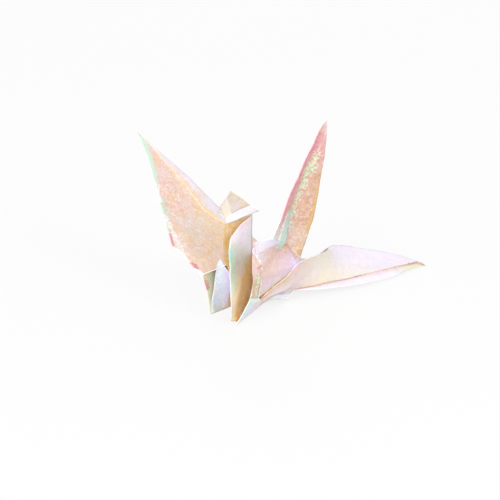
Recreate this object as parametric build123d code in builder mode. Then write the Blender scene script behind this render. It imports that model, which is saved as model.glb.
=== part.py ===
from build123d import *
import os

# Origami crane folded from one square sheet. It heads to -Y, its own left side is +X.
# The origin is on the ground, under the middle of the whole crane.

# Driving sizes: the sheet and the number of its layers that lie on each other.
sheet_side = 80.0 * MM
film_gauge = 0.12 * MM
wing_layers = 3
body_layers = 4
neck_layers = 4
tail_layers = 4
head_layers = 3

# Corners of the folds, as shares of half the sheet's side: left, back, up,
# counted from the ground midway between the front feet and the back feet.

# left wing, drawn up and creased down its middle
left_tip_shares = (0.295, 0.145, 1.050)
left_lead_bend_shares = (0.250, -0.010, 0.780)
left_lead_root_shares = (0.200, -0.120, 0.480)
left_crease_bend_shares = (0.195, 0.045, 0.660)
left_crease_root_shares = (0.125, 0.045, 0.370)
left_trail_bend_shares = (0.240, 0.155, 0.685)
left_trail_root_shares = (0.165, 0.090, 0.260)
# left side of the body, pulled open
left_shoulder_shares = (0.160, -0.220, 0.430)
left_wall_top_shares = (0.180, -0.080, 0.425)
left_front_edge_shares = (0.120, -0.195, 0.155)
left_pocket_shares = (0.105, -0.130, 0.125)
left_slit_shares = (0.135, 0.045, 0.205)
left_front_foot_shares = (0.070, -0.245, 0.005)
left_mid_foot_shares = (0.075, -0.075, 0.060)
left_rear_foot_shares = (0.045, 0.135, 0.005)
left_tail_root_shares = (0.062, 0.176, 0.045)
# right wing, a kite that lies on its root fold
right_tip_shares = (-0.840, -0.060, 0.690)
right_lead_bend_shares = (-0.295, -0.330, 0.340)
right_trail_bend_shares = (-0.295, 0.105, 0.320)
right_root_front_shares = (-0.125, -0.290, 0.225)
right_root_back_shares = (-0.120, 0.155, 0.210)
# right side of the body
right_front_foot_shares = (-0.100, -0.250, 0.005)
right_rear_foot_shares = (-0.075, 0.165, 0.005)
# hump on the back, between the wings
hump_front_shares = (0.020, -0.125, 0.330)
hump_top_shares = (0.015, 0.000, 0.370)
hump_back_shares = (0.000, 0.200, 0.235)
# neck, a channel that opens to the front
neck_top_shares = (0.030, -0.095, 0.535)
neck_ridge_shares = (0.025, -0.095, 0.335)
neck_root_shares = (0.025, -0.060, 0.195)
neck_floor_shares = (0.035, -0.080, 0.095)
neck_heel_shares = (0.050, -0.170, 0.015)
left_lip_top_shares = (0.015, -0.160, 0.505)
left_lip_bend_shares = (0.005, -0.220, 0.440)
left_lip_shares = (0.015, -0.235, 0.325)
left_lip_foot_shares = (0.020, -0.235, 0.010)
left_valley_shares = (0.030, -0.170, 0.205)
right_lip_top_shares = (-0.050, -0.200, 0.505)
right_lip_shares = (-0.060, -0.215, 0.315)
right_valley_shares = (-0.040, -0.190, 0.235)
right_heel_shares = (-0.100, -0.130, 0.005)
right_flap_top_shares = (-0.080, -0.210, 0.305)
# head, folded back over the neck
crest_shares = (-0.010, -0.195, 0.685)
cap_front_shares = (-0.080, -0.205, 0.580)
cap_back_shares = (0.075, -0.145, 0.625)
cap_fold_shares = (-0.030, -0.180, 0.555)
brow_front_shares = (-0.090, -0.215, 0.545)
brow_low_shares = (-0.045, -0.200, 0.500)
brow_back_shares = (0.105, -0.115, 0.595)
# tail, pressed open nearly flat
tail_root_ridge_shares = (0.010, 0.260, 0.145)
tail_shoulder_shares = (0.090, 0.290, 0.210)
tail_flank_shares = (0.100, 0.212, 0.122)
tail_ridge_shares = (0.010, 0.510, 0.165)
tail_ridge_end_shares = (0.165, 0.820, 0.055)
tail_near_bend_shares = (0.165, 0.485, 0.045)
tail_far_bend_shares = (-0.005, 0.510, 0.055)
tail_lip_bend_shares = (0.215, 0.515, 0.020)
tail_lip_end_shares = (0.250, 0.705, 0.010)
tail_tip_shares = (0.275, 0.915, 0.010)

# Each folded face, by its three corners, in groups that share one stack of layers.
wing_faces = [
    (left_tip_shares, left_lead_bend_shares, left_crease_bend_shares),
    (left_lead_bend_shares, left_lead_root_shares, left_crease_bend_shares),
    (left_lead_root_shares, left_crease_root_shares, left_crease_bend_shares),
    (left_tip_shares, left_crease_bend_shares, left_trail_bend_shares),
    (left_crease_bend_shares, left_crease_root_shares, left_trail_bend_shares),
    (left_crease_root_shares, left_trail_root_shares, left_trail_bend_shares),
    (right_tip_shares, right_lead_bend_shares, right_trail_bend_shares),
    (right_lead_bend_shares, right_root_front_shares, right_trail_bend_shares),
    (right_root_front_shares, right_root_back_shares, right_trail_bend_shares),
    (hump_front_shares, left_shoulder_shares, left_wall_top_shares),
    (hump_front_shares, left_wall_top_shares, hump_top_shares),
    (hump_top_shares, left_wall_top_shares, left_crease_root_shares),
    (hump_top_shares, left_crease_root_shares, hump_back_shares),
    (hump_back_shares, left_crease_root_shares, left_trail_root_shares),
    (hump_front_shares, right_root_front_shares, hump_top_shares),
    (hump_top_shares, right_root_front_shares, right_root_back_shares),
    (hump_top_shares, right_root_back_shares, hump_back_shares),
]
body_faces = [
    (left_shoulder_shares, left_lead_root_shares, left_wall_top_shares),
    (left_lead_root_shares, left_crease_root_shares, left_wall_top_shares),
    (left_shoulder_shares, left_wall_top_shares, left_pocket_shares),
    (left_wall_top_shares, left_crease_root_shares, left_pocket_shares),
    (left_crease_root_shares, left_slit_shares, left_pocket_shares),
    (left_crease_root_shares, left_trail_root_shares, left_slit_shares),
    (left_shoulder_shares, left_front_edge_shares, left_pocket_shares),
    (left_front_edge_shares, left_front_foot_shares, left_pocket_shares),
    (left_front_foot_shares, left_mid_foot_shares, left_pocket_shares),
    (left_pocket_shares, left_mid_foot_shares, left_slit_shares),
    (left_mid_foot_shares, left_rear_foot_shares, left_slit_shares),
    (left_rear_foot_shares, left_tail_root_shares, left_slit_shares),
    (left_slit_shares, left_tail_root_shares, left_trail_root_shares),
    (right_root_front_shares, right_root_back_shares, right_front_foot_shares),
    (right_front_foot_shares, right_root_back_shares, right_rear_foot_shares),
    (hump_back_shares, left_trail_root_shares, tail_root_ridge_shares),
    (hump_back_shares, tail_root_ridge_shares, right_root_back_shares),
    (right_root_back_shares, tail_root_ridge_shares, right_rear_foot_shares),
    (left_front_foot_shares, neck_heel_shares, neck_root_shares),
    (left_front_foot_shares, neck_root_shares, left_pocket_shares),
]
neck_faces = [
    (left_lip_top_shares, left_lip_bend_shares, neck_top_shares),
    (left_lip_bend_shares, neck_ridge_shares, neck_top_shares),
    (left_lip_bend_shares, left_lip_shares, neck_ridge_shares),
    (left_lip_shares, left_valley_shares, neck_ridge_shares),
    (left_lip_shares, left_lip_foot_shares, left_valley_shares),
    (left_valley_shares, neck_root_shares, neck_ridge_shares),
    (left_valley_shares, left_lip_foot_shares, neck_heel_shares),
    (left_valley_shares, neck_heel_shares, neck_root_shares),
    (right_lip_top_shares, neck_ridge_shares, neck_top_shares),
    (right_lip_top_shares, right_lip_shares, neck_ridge_shares),
    (right_lip_shares, right_valley_shares, neck_root_shares),
    (right_lip_shares, neck_root_shares, neck_ridge_shares),
    (right_valley_shares, right_heel_shares, neck_floor_shares),
    (right_valley_shares, neck_floor_shares, neck_root_shares),
    (right_flap_top_shares, right_front_foot_shares, right_valley_shares),
    (right_valley_shares, right_front_foot_shares, right_heel_shares),
]
head_faces = [
    (cap_front_shares, cap_fold_shares, crest_shares),
    (crest_shares, cap_fold_shares, cap_back_shares),
    (brow_front_shares, cap_fold_shares, cap_front_shares),
    (brow_front_shares, brow_low_shares, cap_fold_shares),
    (cap_fold_shares, brow_low_shares, brow_back_shares),
    (cap_fold_shares, brow_back_shares, cap_back_shares),
    (cap_front_shares, right_lip_top_shares, crest_shares),
    (crest_shares, right_lip_top_shares, neck_top_shares),
    (crest_shares, neck_top_shares, cap_back_shares),
]
tail_faces = [
    (left_trail_root_shares, left_tail_root_shares, tail_flank_shares),
    (left_trail_root_shares, tail_flank_shares, tail_shoulder_shares),
    (tail_flank_shares, left_tail_root_shares, tail_shoulder_shares),
    (tail_shoulder_shares, left_tail_root_shares, tail_ridge_shares),
    (left_trail_root_shares, tail_shoulder_shares, tail_root_ridge_shares),
    (tail_shoulder_shares, tail_ridge_shares, tail_root_ridge_shares),
    (left_tail_root_shares, tail_near_bend_shares, tail_ridge_shares),
    (tail_ridge_shares, tail_near_bend_shares, tail_tip_shares),
    (tail_ridge_shares, tail_tip_shares, tail_ridge_end_shares),
    (tail_root_ridge_shares, right_rear_foot_shares, tail_ridge_shares),
    (tail_ridge_shares, right_rear_foot_shares, tail_far_bend_shares),
    (tail_ridge_shares, tail_far_bend_shares, tail_ridge_end_shares),
    (tail_far_bend_shares, tail_tip_shares, tail_ridge_end_shares),
    (left_tail_root_shares, tail_lip_bend_shares, tail_near_bend_shares),
    (tail_near_bend_shares, tail_lip_bend_shares, tail_lip_end_shares),
    (tail_near_bend_shares, tail_lip_end_shares, tail_tip_shares),
]
stacks = [
    (wing_faces, wing_layers),
    (body_faces, body_layers),
    (neck_faces, neck_layers),
    (head_faces, head_layers),
    (tail_faces, tail_layers),
]

half_side = sheet_side / 2


def corner(shares):
    """The corner at these shares of half the sheet's side."""
    left, back, up = shares
    return Vector(left * half_side, back * half_side, up * half_side)


def leaf_plane(a, b, c):
    """The plane through three corners, with its origin on the first one."""
    return Plane(origin=a, x_dir=b - a, z_dir=(b - a).cross(c - a))


def lapped(points, lap):
    """An anticlockwise outline moved out by the lap, with its corners cut off square."""
    outline = []
    for start, end in zip(points, points[1:] + points[:1]):
        along = (end - start).normalized()
        out = Vector(along.Y, -along.X, 0) * lap
        outline += [start + out, end + out]
    return outline


leaves = []
with BuildPart() as crane:
    for faces, layers in stacks:
        stack = layers * film_gauge
        for a, b, c in ([corner(shares) for shares in face] for face in faces):
            with BuildSketch(leaf_plane(a, b, c)) as leaf:
                with BuildLine():
                    across = (c - a).dot((b - a).normalized())
                    rise = (b - a).cross(c - a).length / (b - a).length
                    flat = [Vector(0, 0, 0), Vector((b - a).length, 0, 0), Vector(across, rise, 0)]
                    Polyline(*lapped(flat, stack / 2), close=True)
                make_face()
            leaves.append(extrude(amount=stack / 2, both=True, mode=Mode.PRIVATE))

    # All the folded faces join in one sheet.
    add(leaves)

# The crane is set down on the ground, with the origin under the middle of it.
reach = crane.part.bounding_box()
crane.part.position = (-reach.center().X, -reach.center().Y, -reach.min.Z)
crane.part.label = "crane"

os.makedirs("parts", exist_ok=True)
export_step(crane.part, "parts/crane.step")
print("solids", len(crane.part.solids()), "valid", crane.part.is_valid, crane.part.bounding_box())
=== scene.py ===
import bpy, bmesh, math
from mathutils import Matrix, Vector, noise


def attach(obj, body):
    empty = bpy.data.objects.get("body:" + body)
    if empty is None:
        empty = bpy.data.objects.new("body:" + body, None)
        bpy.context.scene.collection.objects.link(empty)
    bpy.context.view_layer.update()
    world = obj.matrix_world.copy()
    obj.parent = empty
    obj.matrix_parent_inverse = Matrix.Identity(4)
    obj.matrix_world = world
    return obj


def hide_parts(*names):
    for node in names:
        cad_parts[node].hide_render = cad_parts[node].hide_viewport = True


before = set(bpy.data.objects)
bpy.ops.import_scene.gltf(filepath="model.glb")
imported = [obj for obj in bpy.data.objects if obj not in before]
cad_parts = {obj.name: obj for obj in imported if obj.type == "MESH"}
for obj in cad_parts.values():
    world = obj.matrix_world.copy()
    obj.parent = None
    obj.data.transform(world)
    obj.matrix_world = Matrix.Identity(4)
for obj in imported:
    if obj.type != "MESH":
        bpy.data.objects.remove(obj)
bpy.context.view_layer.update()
MM = 0.001

# The ruffle's noise has a seed of its own, so that each run gives the same sheet.
noise.seed_set(11)

# Colours of the film, linear.
PEACH = (0.92, 0.66, 0.50)
SALMON = (0.86, 0.54, 0.44)
APRICOT = (0.88, 0.62, 0.42)
GOLD = (0.96, 0.66, 0.33)
TAN = (0.70, 0.50, 0.33)
CREAM = (0.84, 0.78, 0.66)
SAND = (0.80, 0.68, 0.54)
FAWN = (0.66, 0.54, 0.40)
LAVENDER = (0.86, 0.78, 0.86)
SKY = (0.70, 0.80, 0.97)
LILAC = (0.78, 0.64, 0.96)
MAUVE = (0.76, 0.66, 0.74)
HAZE = (0.70, 0.74, 0.86)
MINT = (0.56, 0.80, 0.62)
PALE_MINT = (0.66, 0.84, 0.70)
AQUA = (0.55, 0.87, 0.76)
# The teal below paints a glint on the neck's front edge.
TEAL = (0.45, 0.86, 0.80)
LIME = (0.70, 0.84, 0.58)
ROSE = (0.74, 0.28, 0.32)
BERRY = (0.84, 0.34, 0.38)
# The umber and dusk below paint the shadow line along the tail's near lower edge.
UMBER = (0.50, 0.32, 0.28)
DUSK = (0.76, 0.44, 0.38)
RUSSET = (0.70, 0.38, 0.30)
COPPER = (0.62, 0.36, 0.18)
PINK = (0.80, 0.56, 0.52)
CLAY = (0.76, 0.52, 0.44)
BLUSH = (0.88, 0.72, 0.74)
PEARL = (0.90, 0.88, 0.95)
OLIVE = (0.74, 0.76, 0.50)
# Of the five colours below, all but ochre are painted shade: the warm hue that the film takes deep in the
# neck's pockets, in the slit and inside the body.
SHADE_AMBER = (0.74, 0.43, 0.14)
OCHRE = (0.76, 0.46, 0.16)
SHADE_HONEY = (0.95, 0.60, 0.22)
SHADE_ORANGE = (0.80, 0.38, 0.07)
SHADE_BROWN = (0.46, 0.18, 0.03)
BRONZE = (0.58, 0.40, 0.23)
SNOW = (0.97, 0.95, 1.0)
ORCHID = (0.93, 0.86, 1.0)
GREY = (0.74, 0.70, 0.70)
SILVER = (0.82, 0.78, 0.82)
WHITE = (0.95, 0.94, 0.95)

# Corners of the folded sheet in mm, from a zero of their own. HOME takes them to the frame's origin.
HOME = Vector((0.243, 0.970, -0.051))
CORNERS = {name: Vector(place) + HOME for name, place in dict(
    # far wing: leading edge, trailing edge, fold of the band along the trailing edge, rear root
    w_tip=(-22.9, -15.2, 28.0), w_l1=(-18.1, -17.0, 24.6), w_l2=(-13.8, -19.2, 21.8),
    w_l3=(-9.7, -21.4, 19.1), w_sf=(-1.2, -26.0, 13.7), w_b1=(1.0, -25.1, 12.2),
    w_b2=(3.4, -24.8, 10.5), w_rf=(5.6, -24.3, 9.1),
    w_t1=(-17.1, -13.1, 23.8), w_t2=(-11.7, -11.4, 20.2), w_t3=(-5.3, -10.0, 15.8), w_sb=(-1.2, -8.6, 13.0),
    w_i1=(-19.9, -14.4, 25.7), w_i2=(-13.7, -13.6, 21.5), w_i3=(-5.3, -13.5, 15.9), w_i4=(-2.5, -12.1, 14.0),
    w_rb=(5.8, -6.5, 8.6),
    # far wall and its feet
    fr=(6.5, -23.0, 0.2), fw1=(5.7, -23.4, 6.1), fw2=(6.0, -23.0, 2.9), br=(7.6, -6.1, 0.2),
    # near wing: leading edge, crease, trailing edge
    v_tip=(22.4, -6.9, 42.5),
    v_l0=(22.4, -9.0, 40.8), v_l1=(21.9, -10.2, 38.0), v_l2=(21.3, -11.7, 35.0), v_l3=(20.7, -13.2, 31.3),
    v_l4=(20.0, -14.7, 27.7), v_l5=(19.4, -15.8, 24.1), v_l6=(18.6, -17.6, 19.4),
    v_m0=(21.9, -8.2, 39.6), v_m1=(21.0, -8.9, 36.4), v_m2=(20.1, -9.6, 33.0), v_m3=(18.4, -10.9, 26.6),
    v_m4=(17.1, -11.4, 21.7), v_m5=(15.7, -10.9, 15.0),
    v_r0=(21.8, -6.6, 36.8), v_r1=(21.1, -6.5, 33.1), v_r2=(20.2, -6.6, 27.5), v_r3=(19.1, -6.8, 21.2),
    v_r4=(18.3, -7.6, 16.9), v_r5=(17.2, -9.1, 10.6),
    # near wall: top, fold beside the front facet, front edge down to the foot, back of the foot
    n_sf=(17.0, -21.6, 17.4), n_hl=(16.6, -20.6, 18.9), n_w1=(17.8, -15.9, 17.2),
    n_g1=(17.5, -21.0, 16.3), n_g2=(17.6, -19.4, 14.0), n_g3=(17.0, -19.1, 11.5), n_p=(14.8, -17.9, 5.2),
    n_e1=(16.7, -21.2, 12.7), n_e2=(16.1, -20.6, 9.3), n_e3=(15.4, -20.6, 6.3), n_e4=(14.4, -21.6, 3.0),
    fl=(13.5, -22.6, 0.2), n_b0=(14.6, -16.6, 4.0), n_b1=(13.6, -15.8, 2.5), n_b2=(13.6, -18.3, 1.7),
    # slit of the near wall, and the flap below it: upper lip, middle, curl, lower edge
    n_s1=(16.0, -10.9, 8.4), n_i0=(14.2, -17.3, 4.9), n_i1=(14.9, -15.0, 6.7), n_i2=(15.3, -10.4, 8.6),
    n_f0=(14.5, -16.9, 4.4), n_f1=(15.3, -15.1, 6.1), n_f2=(15.9, -10.9, 7.9),
    n_m0=(14.3, -16.5, 3.7), n_m1=(14.8, -13.3, 4.3), n_m2=(14.8, -9.4, 4.4), n_m3=(14.4, -6.7, 4.6),
    n_c1=(12.9, -11.2, 2.7), n_c2=(12.3, -7.2, 1.2), n_t1=(13.2, -12.3, 2.2), n_t2=(12.9, -7.9, 0.5),
    # hump
    h_f=(11.6, -16.4, 13.2), h_t=(11.2, -12.7, 14.5), h_b=(10.6, -4.7, 9.6),
    # neck: near edge, far edge, ridge, fold into the pocket
    k_l7=(11.2, -19.1, 20.3), k_l6=(10.8, -20.7, 18.6), k_l5=(10.8, -21.5, 17.7), k_l4=(11.0, -22.1, 15.4),
    k_l3=(11.2, -22.1, 13.1), k_l2=(11.8, -22.5, 7.9), k_l1=(12.2, -22.7, 4.0), k_l0=(11.5, -22.1, 0.3),
    k_r3=(8.6, -20.8, 20.4), k_r2=(8.4, -21.3, 16.4), k_r1=(8.2, -21.3, 12.7),
    k_t=(11.8, -16.6, 21.6), k_b=(11.6, -16.5, 13.6), k_c=(11.7, -15.2, 8.0), k_d=(12.0, -16.0, 4.0),
    k_e=(12.44, -21.28, 0.15),
    k_m1=(11.5, -18.0, 11.7), k_m2=(11.9, -19.5, 8.4), k_m3=(12.3, -21.2, 5.1), k_m4=(11.9, -21.7, 0.3),
    # flap between the neck and the far wall
    f_a=(7.4, -21.1, 12.3), f_b=(9.0, -20.3, 9.5), f_c=(6.7, -18.0, 0.4), f_e=(6.8, -21.5, 10.6),
    f_l1=(6.5, -21.9, 6.7), f_l2=(6.4, -22.4, 2.9), f_l3=(6.7, -22.8, 0.3), f_r1=(8.0, -19.0, 4.9),
    # head
    d_c=(10.2, -20.6, 27.7), d_l=(7.4, -21.0, 23.4), d_r=(13.6, -18.6, 25.2), d_t=(14.8, -17.3, 23.9),
    d_b=(8.8, -20.7, 20.1), d_bl=(7.0, -21.3, 22.0), d_m=(11.4, -19.1, 21.8), d_u=(9.4, -19.9, 22.4),
    # tail: tip, near lower edge, ridge, lip, shoulder, far lower edge
    t_t=(21.6, 23.8, 0.35),
    t_n1=(20.5, 22.2, 1.2), t_n2=(19.0, 14.1, 2.0), t_n3=(17.2, 6.6, 2.0), t_n4=(14.6, -1.8, 2.1),
    t_n5=(13.2, -5.7, 2.1),
    t_r1=(17.2, 20.1, 2.4), t_r2=(13.8, 14.5, 4.4), t_k=(11.0, 7.6, 6.8), t_k2=(10.6, 2.2, 5.7),
    t_r0=(11.0, -2.3, 5.9),
    t_l1=(20.8, 19.4, 0.6), t_l2=(20.6, 15.4, 0.5), t_l3=(19.2, 7.8, 1.0), t_l4=(17.0, 1.0, 1.6),
    t_l5=(13.4, -5.6, 2.0),
    t_s1=(14.3, -1.0, 8.6), t_s2=(12.7, 3.3, 7.4),
    t_f1=(8.9, 1.4, 0.9), t_f2=(10.4, 7.6, 2.4), t_f3=(13.4, 14.3, 2.0), t_f4=(17.0, 20.0, 1.2),
).items()}

# The sheet's own sizes, mm.
GAUGE = 0.14
CELL = 0.5
REST_HEIGHT = 0.12
SLOW_WAVE, SLOW_HEIGHT = 0.33, 0.10
QUICK_WAVE, QUICK_HEIGHT = 0.9, 0.05
QUICK_SHIFT = Vector((7, 3, 1))
MERGE = 0.02

# The way that most stretches face, and the step by which a root is tucked behind its neighbour.
PHOTO_SIDE = (0.65, -0.62, 0.44)
UP = (0, 0, 1)
TUCK = (-0.30, 0.28, -0.35)

# Colours of a stretch's other side.
PLAIN_BACK = [[PEACH, SAND, MAUVE], [CREAM, BLUSH, SAND]]
OUTSIDE = [[SALMON, PEACH, PINK, BLUSH], [PEACH, MAUVE, LAVENDER, PEACH], [APRICOT, BLUSH, LILAC, SAND]]
# The inside is honey, gold and apricot: painted shade, the warm hue that the film takes inside the body.
INSIDE = [[SHADE_HONEY, GOLD, APRICOT], [GOLD, SHADE_HONEY, SAND]]

stretches = {}
blooms = []


def at(corner):
    """A corner by its name, or a point as it is."""
    return CORNERS[corner].copy() if isinstance(corner, str) else Vector(corner)


def between(a, b, t):
    return at(a).lerp(at(b), t)


def moved(corner, x, y, z):
    return at(corner) + Vector((x, y, z))


def curve(points, k, t, smooth):
    """The point t of the way from point k to the next, on a straight or a smooth line."""
    a, b = points[k], points[k + 1]
    if not smooth or len(points) < 3:
        return a.lerp(b, t)
    before = points[k - 1] if k else a * 2 - b
    after = points[k + 2] if k + 2 < len(points) else b * 2 - a
    return 0.5 * ((2 * a) + (b - before) * t + (2 * before - 5 * a + 4 * b - after) * t * t
                  + (3 * a - before - 3 * b + after) * t ** 3)


def cut_by_corner(rails, smooth):
    """Rails with as many corners each, cut between the same corners. A rail of one point stays there."""
    full = [r for r in rails if len(r) > 1]
    spans = len(full[0]) - 1
    rows = []
    for k in range(spans):
        steps = max(1, math.ceil(max((r[k + 1] - r[k]).length for r in full) / CELL))
        rows += [(k, j / steps) for j in range(steps)]
    rows.append((spans - 1, 1.0))
    cut = [[r[0].copy() for _ in rows] if len(r) == 1 else [curve(r, k, t, smooth) for k, t in rows]
           for r in rails]
    return cut, [(k + t) / spans for k, t in rows]


def cut_by_length(rails, smooth):
    """Rails cut into as many even lengths each, where their corners don't pair up."""
    spans = [[(a - b).length for a, b in zip(r, r[1:])] for r in rails]
    n = max(4, int(max(sum(x) for x in spans) / CELL))
    cut = []
    for rail, span in zip(rails, spans):
        line = []
        for i in range(n + 1):
            left, k = sum(span) * i / n, 0
            while k < len(span) - 1 and left > span[k]:
                left -= span[k]
                k += 1
            share = min(1, left / max(span[k], 1e-9)) if span else 0
            line.append(curve(rail, k, share, smooth) if span else rail[0].copy())
        cut.append(line)
    return cut, [i / n for i in range(n + 1)]


def cut_rails(rails, smooth):
    """The rails cut into rows, and each row's place from 0 to 1."""
    paired = len({len(r) for r in rails if len(r) > 1}) == 1
    return cut_by_corner(rails, smooth) if paired else cut_by_length(rails, smooth)


def mix(a, b, t):
    return tuple(x + (y - x) * t for x, y in zip(a, b))


def along(colours, place):
    """The colour at a place from 0 to 1 of a row of colours."""
    if len(colours) == 1:
        return colours[0]
    x = place * (len(colours) - 1)
    k = min(int(x), len(colours) - 2)
    return mix(colours[k], colours[k + 1], x - k)


def shade(tints, down, across, glint_and_grain):
    """The colour at a place along the rails and across them, with the stretch's share of painted glints and
    colour drifts as its alpha.
    """
    x = across * (len(tints) - 1)
    k = min(int(x), len(tints) - 2)
    return (*mix(along(tints[k], down), along(tints[k + 1], down), x - k), glint_and_grain)


def plain(colour):
    return [[colour], [colour]]


def sheet(name, rails, tints, back=PLAIN_BACK, smooth=True, lift=(0, 0, 0), face=PHOTO_SIDE, inner=False,
          glint_and_grain=0.3):
    """A stretch of the sheet that runs over its rails in order. tints holds rows of colours from the first
    rail to the last, on the side that looks towards face, and back holds the other side's. inner says that
    face sees the film's matt side. The last argument sets how much its crinkles glitter: the strength of
    their painted glints, and of the film's own colour drifts."""
    stretches[name] = dict(rails=rails, tints=tints, back=back, smooth=smooth, lift=Vector(lift),
                           face=Vector(face), inner=inner, glint_and_grain=glint_and_grain)


def bloom(a, b, reach, colour, strength):
    """A soft run of colour along the line from a to b, which the film's crinkles break up."""
    blooms.append((at(a), at(b), reach, colour, strength))


def accent_at(point):
    """The colour of the strongest bloom at a point, with its strength as alpha."""
    best, colour = 0.0, WHITE
    for a, b, reach, tint, strength in blooms:
        run = b - a
        t = max(0.0, min(1.0, (point - a).dot(run) / max(run.length_squared, 1e-9)))
        weight = strength * max(0.0, 1 - ((point - (a + run * t)).length / reach) ** 2)
        if weight > best:
            best, colour = weight, tint
    return (*colour, best)


def settle(point, lift):
    """Moves a point by its stretch's lift and the film's ruffle, and keeps it off the floor."""
    point += lift
    slow = noise.noise_vector(point * SLOW_WAVE) * SLOW_HEIGHT
    quick = noise.noise_vector(point * QUICK_WAVE + QUICK_SHIFT) * QUICK_HEIGHT
    point += slow + quick
    point.z = max(point.z, REST_HEIGHT)


def add_stretch(bm, stretch, front_layer, back_layer, accent_layer):
    """Lays one stretch as a lattice of quads, and colours both its sides."""
    rails, places = cut_rails([[at(x) for x in rail] for rail in stretch["rails"]], stretch["smooth"])
    columns = []
    for k, (a, b) in enumerate(zip(rails, rails[1:])):
        steps = max(2, math.ceil(max((x - y).length for x, y in zip(a, b)) / CELL))
        columns += [(k, j / steps) for j in range(steps)]
    columns.append((len(rails) - 2, 1.0))
    grid = [[rails[k][i].lerp(rails[k + 1][i], t) for k, t in columns] for i in range(len(places))]
    across = [(k + t) / (len(rails) - 1) for k, t in columns]
    cells = [(i, j) for i in range(len(places) - 1) for j in range(len(columns) - 1)]
    normal = Vector()
    for i, j in cells:
        normal += (grid[i + 1][j + 1] - grid[i][j]).cross(grid[i][j + 1] - grid[i + 1][j])
    turned = (normal.dot(stretch["face"]) < 0) != stretch["inner"]
    tints, back = stretch["tints"], stretch["back"]
    if stretch["inner"]:
        tints, back = back, tints
    for row in grid:
        for point in row:
            settle(point, stretch["lift"])
    verts = [[bm.verts.new(point * MM) for point in row] for row in grid]
    for i, j in cells:
        quad = [(i, j), (i + 1, j), (i + 1, j + 1), (i, j + 1)]
        if turned:
            quad.reverse()
        face = bm.faces.new([verts[x][y] for x, y in quad])
        face.smooth = True
        for loop, (x, y) in zip(face.loops, quad):
            loop[front_layer] = shade(tints, places[x], across[y], stretch["glint_and_grain"])
            loop[back_layer] = shade(back, places[x], across[y], stretch["glint_and_grain"])
            loop[accent_layer] = accent_at(grid[x][y])


def build_sheet():
    bm = bmesh.new()
    layers = [bm.loops.layers.float_color.new(name) for name in ("tint_front", "tint_back", "accent")]
    for stretch in stretches.values():
        add_stretch(bm, stretch, *layers)
    bmesh.ops.dissolve_degenerate(bm, edges=bm.edges, dist=MERGE * MM)
    mesh = bpy.data.meshes.new("crane_sheet")
    bm.to_mesh(mesh)
    bm.free()
    piece = bpy.data.objects.new("crane_sheet", mesh)
    bpy.context.scene.collection.objects.link(piece)
    return piece


def wing_blooms():
    bloom(between("w_tip", "w_l1", 0.15), "w_l1", 1.5, PALE_MINT, 1.3)
    bloom("w_l1", "w_l2", 1.5, PALE_MINT, 1.0)
    bloom("w_l2", "w_l3", 0.9, WHITE, 0.8)
    bloom("w_l3", "w_sf", 2.0, MINT, 0.74)
    bloom(between("w_l3", "w_sf", 0.3), "w_b1", 1.3, WHITE, 0.8)
    bloom(between("w_l3", "w_sf", 0.78), between("w_l3", "w_sf", 0.98), 1.1, ROSE, 1.1)
    bloom("w_b2", "fw1", 1.2, ROSE, 1.2)
    # White under the far wing's root: painted light where the bright backdrop shows through a gap.
    bloom(between("w_b2", "w_rf", 0.2), "w_rf", 0.9, WHITE, 1.0)
    bloom("v_l1", "v_l3", 2.4, BERRY, 0.80)
    bloom("v_l3", between("v_l4", "v_l5", 0.8), 2.2, BERRY, 0.85)
    bloom(between("v_m1", "v_r1", 0.3), between("v_m2", "v_r2", 0.3), 1.4, LIME, 0.70)
    bloom("v_m2", "v_m4", 1.7, LIME, 0.72)
    bloom(between("v_l5", "v_m4", 0.75), between("v_l6", "v_m5", 0.62), 3.1, AQUA, 0.86)
    bloom(between("v_l5", "v_m4", 0.5), between("v_l6", "v_m5", 0.4), 1.2, SNOW, 0.84)
    bloom("v_r2", "v_r4", 0.7, OCHRE, 0.9)


def body_blooms():
    bloom(between("n_e1", "n_g2", 0.62), between("n_e1", "n_g2", 0.72), 0.8, ROSE, 0.95)
    # White along the fold beside the near wall's front facet: a painted highlight.
    bloom("n_g1", "n_g2", 0.42, WHITE, 0.84)
    bloom("n_g2", "n_g3", 0.4, WHITE, 0.84)
    bloom("n_g3", "n_p", 0.4, WHITE, 0.84)
    bloom(between("n_e1", "n_g3", 0.6), between("n_e3", "n_p", 0.6), 0.7, LIME, 0.7)
    bloom(between("n_sf", "n_hl", 0.5), between("n_sf", "n_hl", 0.6), 0.3, ROSE, 0.9)
    bloom("n_e3", "fl", 1.2, PALE_MINT, 0.7)
    bloom("n_b1", "n_b2", 0.9, LILAC, 0.7)
    bloom("v_r5", "v_r5", 2.2, LILAC, 0.8)
    # Dusk and umber along the tail's near lower edge: a painted shadow line, widening to a patch near the
    # tip.
    bloom(between("t_n1", "t_t", 0.2), between("t_n1", "t_t", 0.45), 0.6, DUSK, 1.1)
    bloom("t_n5", "t_n3", 0.32, DUSK, 1.0)
    bloom("t_n3", "t_n1", 0.36, UMBER, 1.0)
    bloom("t_n1", "t_t", 0.4, UMBER, 1.0)
    # Teal on the neck's front edge: a painted glint.
    bloom("k_l4", between("k_l4", "k_l3", 0.8), 1.0, TEAL, 1.1)
    bloom("f_b", "f_r1", 1.1, LILAC, 0.9)


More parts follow.
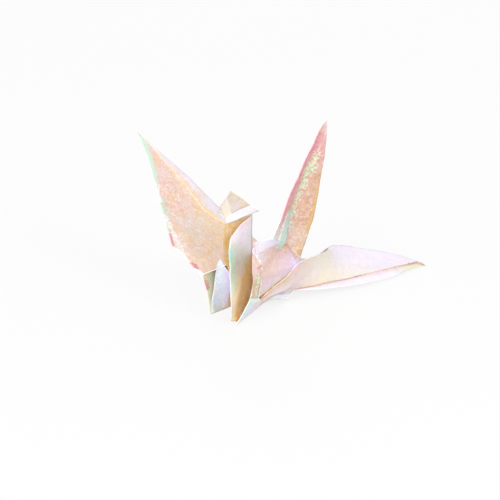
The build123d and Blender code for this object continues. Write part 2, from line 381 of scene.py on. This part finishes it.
def far_wing():
    """One field with a half sheet behind it, and the band folded over along its back edge."""
    lead = ["w_tip", "w_l1", "w_l2", "w_l3", "w_sf", "w_b1", "w_b2", "w_rf"]
    fold = ["w_tip", "w_i1", "w_i2", "w_i3", "w_i4"]
    trail = ["w_tip", "w_t1", "w_t2", "w_t3", "w_sb"]
    sheet("wing_r", [lead, [*fold, "w_sb", between("w_sb", "w_rb", 0.5), "w_rb"]],
          [[CREAM, PALE_MINT, SALMON, SALMON, PEACH, PEACH, PEACH, PEACH],
           [CREAM, SALMON, SALMON, SALMON, APRICOT, APRICOT, GOLD, APRICOT],
           [BLUSH, SALMON, APRICOT, GOLD, GOLD, GOLD, GOLD, GOLD]], back=OUTSIDE, smooth=False, glint_and_grain=1.0)
    sheet("wing_r_half",
          [lead, [between("w_tip", "w_i1", 0.5), between("w_l1", "w_i1", 0.6), between("w_l2", "w_i2", 0.55),
                  between("w_l3", "w_i3", 0.52), between("w_sf", "w_i4", 0.5), between("w_b1", "w_sb", 0.5),
                  between("w_b2", "w_rb", 0.5), between("w_rf", "w_rb", 0.55)]],
          plain(SALMON), back=OUTSIDE, smooth=False, lift=(-0.10, 0.03, -0.16), glint_and_grain=1.0)
    sheet("wing_r_back", [fold, trail], [[BLUSH, PINK, PEACH, PEACH], [BLUSH, LAVENDER, LAVENDER, PEARL]],
          smooth=False, glint_and_grain=1.0)
    sheet("wing_r_band", [fold, trail],
          [[BLUSH, PEACH, GOLD, GOLD], [LAVENDER, BLUSH, LAVENDER, LAVENDER],
           [LAVENDER, LILAC, LAVENDER, PEARL]],
          smooth=False, lift=(0.08, -0.07, 0.11), glint_and_grain=1.0)
    # A sliver in white and snow under the far wing's root: painted light where the bright backdrop shows
    # through a gap.
    sheet("wing_r_turn", [["w_b2", "w_rf"], [moved("w_b2", 0.3, 0.2, -0.2), moved("w_rf", 0.1, -0.1, -0.9)]],
          [[WHITE, SNOW], [SNOW, SNOW]], lift=(0.12, -0.12, 0.0), glint_and_grain=1.0)


def far_wall():
    # The far wall's inner side is olive: painted shade, the hue that the film takes in the shadowed pocket.
    sheet("wall_r", [["w_rf", "fw1", "fw2", "fr"],
                     ["w_rb", between("w_rb", "br", 0.3), between("w_rb", "br", 0.7), "br"]],
          [[OLIVE, OLIVE, OLIVE, OLIVE], [OLIVE, TAN]], back=OUTSIDE, inner=True, glint_and_grain=0.5)


def near_wing():
    """Two fields that meet at a crease, with a half sheet behind, and the root tucked behind the wall."""
    crease = ["v_tip", "v_m0", "v_m1", "v_m2", between("v_m2", "v_m3", 0.5), "v_m3", "v_m4", "v_m5"]
    trail = ["v_tip", "v_r0", "v_r1", between("v_r1", "v_r2", 0.5), "v_r2", "v_r3", "v_r4", "v_r5"]
    sheet("wing_l", [["v_tip", "v_l0", "v_l1", "v_l2", "v_l3", "v_l4", "v_l5", "v_l6", moved("v_l6", *TUCK)],
                     [*crease, moved("v_m5", *TUCK)], [*trail, moved("v_r5", *TUCK)]],
          [[GREY, ROSE, ROSE, ROSE, ROSE, ROSE, ROSE, PALE_MINT, SKY],
           [GREY, ROSE, ROSE, RUSSET, RUSSET, RUSSET, RUSSET, CLAY, SALMON],
           [GREY, RUSSET, RUSSET, COPPER, COPPER, COPPER, COPPER, BRONZE, LILAC]], back=OUTSIDE, glint_and_grain=0.55)
    sheet("wing_l_half", [crease, trail], plain(COPPER), back=OUTSIDE, lift=(-0.17, 0.08, 0.0), glint_and_grain=1.0)


def near_wall():
    sheet("wall_l_top", [["n_hl", "v_l6"], ["n_g1", "n_w1"]], [[MAUVE, HAZE], [MAUVE, MAUVE]])
    sheet("wall_l_corner", [["n_sf"], ["n_hl", "n_g1"]], plain(MAUVE))
    sheet("wall_l", [["n_g1", "n_g2", "n_g3", "n_p"], ["n_w1", "v_m5", "v_r5", "n_s1", "n_p"]],
          [[MAUVE, CLAY, PINK, TAN], [CLAY, CLAY, PINK, MAUVE, TAN], [CLAY, COPPER, LILAC, TAN, TAN]],
          back=INSIDE, smooth=False)
    sheet("wing_l_root", [["v_l6", "n_w1", "v_m5"], ["v_l6", "v_m5"]], [[SKY, PINK], [SKY, PINK]],
          smooth=False)
    sheet("wall_l_front", [["n_sf", "n_e1", "n_e2", "n_e3"], ["n_g1", "n_g2", "n_g3", "n_p"]],
          [[TAN, PINK, BRONZE, TAN], [PINK, TAN, BRONZE, TAN]], back=INSIDE)
    sheet("wall_l_foot", [["n_e3", "n_e4", "fl"], ["n_p", "n_b0", "n_b1", "n_b2", "fl"]],
          [[PALE_MINT, SKY, LAVENDER], [PALE_MINT, LAVENDER, SKY, PALE_MINT, LAVENDER]], glint_and_grain=0.8)


def near_flank():
    """The slit below the near wall, a strip of painted shade, and the flap that runs on into the tail's near
    side.
    """
    # The slit: a strip of brown and bronze, painted shade where the wall's edge overhangs the flap.
    sheet("slit", [["n_i0", "n_i1", "n_i2", "v_r5"], ["n_f0", "n_f1", "n_f2", "v_r5"]],
          [[SHADE_BROWN, SHADE_BROWN, SHADE_BROWN, BRONZE], [SHADE_BROWN, SHADE_BROWN, BRONZE, TAN]], smooth=False, inner=True)
    tail_low = ["t_n5", "t_n4", between("t_n4", "t_n3", 0.5), "t_n3", "t_n2", "t_n1", "t_t"]
    sheet("flank_l", [["n_f0", "n_f1", "n_f2", "v_r5", "t_s1", "t_s2", "t_k", "t_r2", "t_r1", "t_t"],
                      ["n_m0", "n_m1", "n_m2", "n_m3", between("t_s1", "t_n4", 0.5),
                       between("t_s2", between("t_n4", "t_n3", 0.5), 0.5), between("t_k", "t_n3", 0.5),
                       between("t_r2", "t_n2", 0.5), between("t_r1", "t_n1", 0.5), "t_t"],
                      ["n_b1", "n_c1", "n_c2", *tail_low],
                      ["n_b1", "n_t1", "n_t2", *tail_low]],
          # The first row starts bronze and tan beside the slit: painted shade. The curl and the lower edge
          # start pearl, mint and snow: a painted highlight on faces that turn down.
          [[BRONZE, TAN, TAN, PEACH, CREAM, CREAM, ORCHID, ORCHID, ORCHID, GREY],
           [PEACH, BLUSH, BLUSH, BLUSH, CREAM, CREAM, LAVENDER, ORCHID, ORCHID, GREY],
           [BLUSH, PEARL, PEARL, SAND, SAND, SAND, CREAM, LAVENDER, ORCHID, GREY],
           [PALE_MINT, PALE_MINT, SNOW, SAND, SAND, SAND, CREAM, LAVENDER, ORCHID, GREY]])


def hump():
    ridge = ["h_f", "h_t", "h_b"]
    sheet("hump_l", [ridge, ["n_sf", moved("n_w1", *TUCK), moved("v_m5", *TUCK), moved("v_r5", *TUCK)]],
          [[PEARL, LAVENDER], [LAVENDER, PINK]], back=INSIDE, face=UP)
    sheet("hump_r", [ridge, ["w_rf", "w_rb"]], [[PEARL, LAVENDER], [BLUSH, PEACH]], back=INSIDE, face=UP)


def neck():
    """The near face, which curves into its pocket and turns gold to brown there as painted shade, the far
    face in amber as painted shade, and the flap beside it.
    """
    ridge = ["k_t", between("k_t", "k_b", 0.3), between("k_t", "k_b", 0.6), "k_b"]
    sheet("neck_l", [["k_l7", "k_l6", "k_l5", "k_l4", "k_l3", "k_l2", "k_l1", "k_l0"],
                     [*ridge, "k_m1", "k_m2", "k_m3", "k_m4"],
                     [*ridge, between("k_m1", between("k_b", "k_c", 0.4), 0.3), between("k_m2", "k_c", 0.35),
                      between("k_m3", "k_d", 0.35), between("k_m4", "k_e", 0.5)],
                     [*ridge, between("k_b", "k_c", 0.4), "k_c", "k_d", "k_e"]],
          # Towards the pocket the rows turn gold, honey, orange and brown lower down: painted shade
          # deepening into the pocket.
          [[BLUSH, LAVENDER, LAVENDER, PALE_MINT, PALE_MINT, PALE_MINT, CREAM, PALE_MINT],
           [BLUSH, LAVENDER, LAVENDER, BLUSH, SAND, GOLD, GOLD, GOLD],
           [BLUSH, LAVENDER, LAVENDER, BLUSH, SHADE_HONEY, SHADE_HONEY, SHADE_HONEY, SHADE_ORANGE],
           [BLUSH, LAVENDER, LAVENDER, BRONZE, SHADE_ORANGE, SHADE_BROWN, SHADE_BROWN, SHADE_BROWN]], glint_and_grain=0.2)
    sheet("neck_r", [["k_r3", "k_r2", "k_r1", "f_b", "f_c"],
                     ["k_t", between("k_t", "k_b", 0.5), "k_b", "k_c", "k_d"]],
          # Amber and orange: painted shade inside the neck's channel.
          [[SHADE_AMBER, SHADE_AMBER, SHADE_AMBER, SHADE_ORANGE, SHADE_AMBER], [SHADE_AMBER, SHADE_AMBER, SHADE_ORANGE, SHADE_ORANGE, SHADE_ORANGE]], inner=True)
    sheet("neck_flap",
          [["f_a", "f_e", "f_l1", "f_l2", "f_l3"],
           [between("f_a", "f_b", 0.5), between("f_e", "f_b", 0.5), between("f_l1", "f_r1", 0.55),
            between("f_l2", "f_c", 0.55), between("f_l3", "f_c", 0.55)],
           ["f_b", between("f_b", "f_r1", 0.3), "f_r1", between("f_r1", "f_c", 0.5), "f_c"]],
          [[PEARL, SKY, SKY, SKY, PALE_MINT], [SKY, SKY, SKY, SKY, SAND],
           [LAVENDER, LILAC, LILAC, LILAC, SAND]],
          glint_and_grain=1.0)


def head():
    sheet("cap", [["d_l", "d_c"], ["d_u", "d_r"]], [[MAUVE, FAWN], [FAWN, FAWN]], smooth=False)
    sheet("cap_low", [["d_bl", "d_l"], ["d_u", "d_u"]], [[GREY, FAWN], [FAWN, FAWN]], smooth=False)
    sheet("brow", [["d_bl", "d_u", "d_r"], ["d_b", "d_m", "d_t"]],
          [[GREY, SILVER, PEARL], [SILVER, PEARL, GREY]], smooth=False)
    sheet("cap_back", [["d_l", "d_c", "d_r"], ["k_r3", "k_t"]], plain(SAND), smooth=False)


def tail():
    sheet("tail_top", [["v_r5", moved("t_s1", 0, 0, -0.25), moved("t_s2", 0, 0, -0.35), "t_k"],
                       ["h_b", "t_r0", "t_k2", "t_k"]], [[PEARL, LAVENDER], [PEARL]], face=UP)
    sheet("tail_far", [["t_r0", "t_k2", "t_k", "t_r2", "t_r1", "t_t"],
                       ["br", "t_f1", "t_f2", "t_f3", "t_f4", "t_t"]],
          [[TAN, LAVENDER], [LAVENDER, LAVENDER]], back=[[MAUVE, LAVENDER, ORCHID], [PEACH, BLUSH, ORCHID]])
    sheet("tail_lip", [["t_n5", "t_n4", "t_n3", "t_n2", "t_n1", "t_t"],
                       ["t_l5", "t_l4", "t_l3", "t_l2", "t_l1", "t_t"]],
          # The first row, along the near edge, is the film's pink deepened to dusk and russet towards the
          # tip: partly painted shadow line.
          [[PINK, TAN, PINK, DUSK, RUSSET, DUSK], [ORCHID, ORCHID, ORCHID, LAVENDER, OLIVE, OLIVE],
           [ORCHID, ORCHID, ORCHID, ORCHID, OLIVE, OLIVE]])
    sheet("back_r", [["h_b", "t_r0"], ["w_rb", "br"]], [[BLUSH, PEACH], [LAVENDER, TAN]], back=OUTSIDE)


wing_blooms()
body_blooms()
far_wing()
far_wall()
near_wing()
near_wall()
near_flank()
hump()
neck()
head()
tail()
crane = build_sheet()
thick = crane.modifiers.new("gauge", "SOLIDIFY")
thick.thickness = GAUGE * MM
thick.offset = 0.0
thick.material_offset = 1
thick.material_offset_rim = 2


# Film paper. Its patterns are in waves to the metre.
DRIFT = 150
PATCH = 300
RIPPLE = 820
STREAK = 900
SPECK = 1500


class S:
    """A socket of the tree in hand. Arithmetic on sockets adds Math nodes."""
    tree = None

    def __init__(self, socket):
        self.socket = socket

    @staticmethod
    def node(kind, sockets, out=None, **settings):
        """Adds a node: its settings first, then each socket's value or link. Sockets go by identifier,
        and so does out, the one that is given back."""
        node = S.tree.nodes.new("ShaderNode" + kind)
        for name, value in settings.items():
            setattr(node, name, value)
        inputs = {s.identifier: s for s in node.inputs}
        for name, value in sockets.items():
            if isinstance(value, S):
                S.tree.links.new(value.socket, inputs[name])
            else:
                inputs[name].default_value = value
        outputs = {s.identifier: s for s in node.outputs}
        return S(outputs[out]) if out else None

    def beside(self, name):
        """Another socket of the same node."""
        return S(self.socket.node.outputs[name])

    @staticmethod
    def math(operation, *terms, clamp=False):
        sockets = dict(zip(("Value", "Value_001"), terms))
        return S.node("Math", sockets, "Value", operation=operation, use_clamp=clamp)

    def __add__(self, other):
        return S.math("ADD", self, other)

    def __sub__(self, other):
        return S.math("SUBTRACT", self, other)

    def __rsub__(self, other):
        return S.math("SUBTRACT", other, self)

    def __mul__(self, other):
        return S.math("MULTIPLY", self, other)

    def __abs__(self):
        return S.math("ABSOLUTE", self)


def empty_tree(owner):
    """Empties the owner's node tree and takes it in hand."""
    owner.use_nodes = True
    owner.node_tree.nodes.clear()
    S.tree = owner.node_tree


def step(x, low, high):
    """0 below low, 1 above high, smooth between."""
    return S.node("MapRange", {"Value": x, "From Min": low, "From Max": high}, "Result",
                  interpolation_type="SMOOTHSTEP")


def blend(a, b, share, kind="MIX"):
    """Colour a with a share of colour b."""
    sockets = {"A_Color": a, "B_Color": b, "Factor_Float": share}
    sockets = {k: (*v, 1.0) if isinstance(v, tuple) else v for k, v in sockets.items()}
    return S.node("Mix", sockets, "Result_Color", data_type="RGBA", blend_type=kind)


def pattern(where, waves, detail, roughness, distortion):
    return S.node("TexNoise", {"Vector": where, "Scale": waves, "Detail": detail, "Roughness": roughness,
                               "Distortion": distortion}, "Fac")


def film(name, attribute, gloss=1.0, rim_highlight=False):
    """Crinkled film in the colours that the attribute holds. On the rims it is half white and glows a
    little: a painted highlight and a painted glow.
    """
    material = bpy.data.materials.new(name)
    empty_tree(material)
    where = S.node("TexCoord", {}, "Object")
    tint = S.node("Attribute", {}, "Color", attribute_name=attribute)
    glitter = tint.beside("Alpha")
    # The rims are half white: a painted highlight.
    if rim_highlight:
        tint = blend(tint, WHITE, 0.5)
    accent = S.node("Attribute", {}, "Color", attribute_name="accent")
    # crinkles: worm-like ridges at two sizes, with hollows beside the larger ones. The white on the ridges
    # is a painted glint, and the darkening in the hollows is painted shade.
    ripple = pattern(where, RIPPLE, 0.6, 0.5, 0.9)
    speck = pattern(where, SPECK, 1.5, 0.6, 0.5)
    ridge = 1.0 - step(abs(ripple - 0.5), 0.015, 0.08)
    fine_ridge = 1.0 - step(abs(speck - 0.5), 0.02, 0.09)
    hollow = 1.0 - step(abs(ripple - 0.36), 0.0, 0.07)
    colour = blend(tint, WHITE, (ridge * 0.32 + fine_ridge * 0.18) * glitter)
    colour = blend(colour, tint, hollow * 0.25, "MULTIPLY")
    # slow drifts of pink, cream, gold and blush
    drift = pattern(where, DRIFT, 2.0, 0.5, 0.3)
    patch = pattern(where, PATCH, 1.0, 0.5, 0.6)
    colour = blend(colour, PINK, step(drift, 0.52, 0.70) * glitter * 0.3)
    colour = blend(colour, CREAM, (1.0 - step(drift, 0.32, 0.48)) * glitter * 0.3)
    colour = blend(colour, GOLD, step(patch, 0.54, 0.66) * glitter * 0.28)
    colour = blend(colour, BLUSH, (1.0 - step(patch, 0.36, 0.46)) * glitter * 0.30)
    # white specks: painted glints
    colour = blend(colour, WHITE, step(speck, 0.58, 0.66) * glitter * 0.55)
    # upright streaks of violet and green, where the film glitters least
    drawn_out = S.node("VectorMath", {"Vector": where, "Vector_001": (1.0, 1.0, 0.12)}, "Vector",
                       operation="MULTIPLY")
    streak = pattern(drawn_out, STREAK, 1.0, 0.5, 0.3)
    calm = 1.0 - step(glitter, 0.2, 0.6)
    colour = blend(colour, LILAC, step(streak, 0.54, 0.68) * calm * 0.24)
    colour = blend(colour, PALE_MINT, (1.0 - step(streak, 0.32, 0.46)) * calm * 0.20)
    # the blooms, which show on the ridges first
    lit = step(ridge * 0.42 + fine_ridge * 0.18 + accent.beside("Alpha"), 0.72, 0.95)
    colour = blend(colour, accent, lit * 0.88)
    relief = S.node("Bump", {"Strength": 0.15 + 0.20 * gloss, "Distance": 0.1 * MM,
                             "Height": ripple + ridge * 0.35 + speck * 0.4}, "Normal")
    finish = {"Base Color": colour, "Normal": relief, "Roughness": 0.58 - fine_ridge * 0.10,
              "Specular IOR Level": 0.15 + 0.1 * gloss, "Coat Weight": 0.06 * gloss, "Coat Roughness": 0.2,
              "Thin Film Thickness": 480, "Thin Film IOR": 1.4}
    # They also glow a little: a painted glow.
    if rim_highlight:
        finish.update({"Emission Color": tint, "Emission Strength": 0.4})
    S.node("OutputMaterial", {"Surface": S.node("BsdfPrincipled", finish, "BSDF")})
    return material


crane.data.materials.append(film("film_front", "tint_front"))
crane.data.materials.append(film("film_back", "tint_back", gloss=0.0))
# The rims of every stretch get the painted highlight and glow.
crane.data.materials.append(film("film_edge", "tint_front", rim_highlight=True))
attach(crane, "root")
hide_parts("crane")

# Stage: a floor and a world that the camera sees as near white. The floor keeps a faint shadow.
BACKDROP = (1, 1, 1, 1)
FLOOR = (0.92, 0.92, 0.92, 1)
FLOOR_SIZE = 1.2
WORLD_LIGHT = 0.66


def sees_backdrop(share):
    """share for the rays that see the backdrop, straight or in a gloss, and 0 for the rest."""
    camera = S.node("LightPath", {}, "Is Camera Ray")
    gloss = S.math("ADD", camera.beside("Is Glossy Ray"), camera.beside("Is Transmission Ray"), clamp=True)
    return S.math("ADD", camera, gloss, clamp=True) * share


def either(first, second, share):
    """Shader first, with a share of shader second."""
    return S.node("MixShader", {"Fac": share, "Shader": first, "Shader_001": second}, "Shader")


bpy.ops.mesh.primitive_plane_add(size=FLOOR_SIZE, location=(0, 0, 0))
floor = bpy.context.object
floor.name = "floor"
paint = bpy.data.materials.new("floor")
empty_tree(paint)
matt = S.node("BsdfDiffuse", {"Color": FLOOR}, "BSDF")
glow = S.node("Emission", {"Color": BACKDROP}, "Emission")
S.node("OutputMaterial", {"Surface": either(matt, glow, sees_backdrop(0.8))})
floor.data.materials.append(paint)

world = bpy.data.worlds.new("studio")
empty_tree(world)
soft = S.node("Background", {"Color": BACKDROP, "Strength": WORLD_LIGHT}, "Background")
white = S.node("Background", {"Color": BACKDROP, "Strength": 1.0}, "Background")
S.node("OutputWorld", {"Surface": either(soft, white, sees_backdrop(1.0))})
bpy.context.scene.world = world


def lamp(name, place, size, power):
    """A round lamp that shines at the crane. Its place and size are in metres."""
    data = bpy.data.lights.new(name, "AREA")
    data.shape = "DISK"
    data.size = size
    data.energy = power
    piece = bpy.data.objects.new(name, data)
    bpy.context.scene.collection.objects.link(piece)
    piece.location = place
    aim = Vector((0.005, -0.01, 0.012))
    piece.rotation_euler = (aim - Vector(place)).to_track_quat("-Z", "Y").to_euler()


lamp("key", (0.25, -0.45, 0.48), 0.25, 0.9)
lamp("fill", (0.5, 0.1, 0.3), 0.3, 0.8)
lamp("front", (0.16, -0.50, 0.14), 0.25, 0.75)
lamp("back", (-0.35, 0.35, 0.30), 0.3, 0.35)

# Camera at the photo's angle, round from the head's side and above the floor. Lengths are in mm, and
# FIELD is how wide the view is at the target.
AZIMUTH = math.radians(46)
ELEVATION = math.radians(26)
DISTANCE = 480
FIELD = 100
SENSOR = 36
TARGET = Vector((5.48, -11.08, 10.05)) + HOME
camera_data = bpy.data.cameras.new("cam")
camera = bpy.data.objects.new("cam", camera_data)
bpy.context.scene.collection.objects.link(camera)
away = Vector((math.sin(AZIMUTH) * math.cos(ELEVATION), -math.cos(AZIMUTH) * math.cos(ELEVATION),
               math.sin(ELEVATION)))
camera.location = (TARGET + away * DISTANCE) * MM
camera.rotation_euler = (-away).to_track_quat("-Z", "Y").to_euler()
camera_data.sensor_width = SENSOR
camera_data.lens = SENSOR * DISTANCE / FIELD
camera_data.clip_start = 0.01
bpy.context.scene.camera = camera
bpy.context.scene.view_settings.view_transform = "Standard"
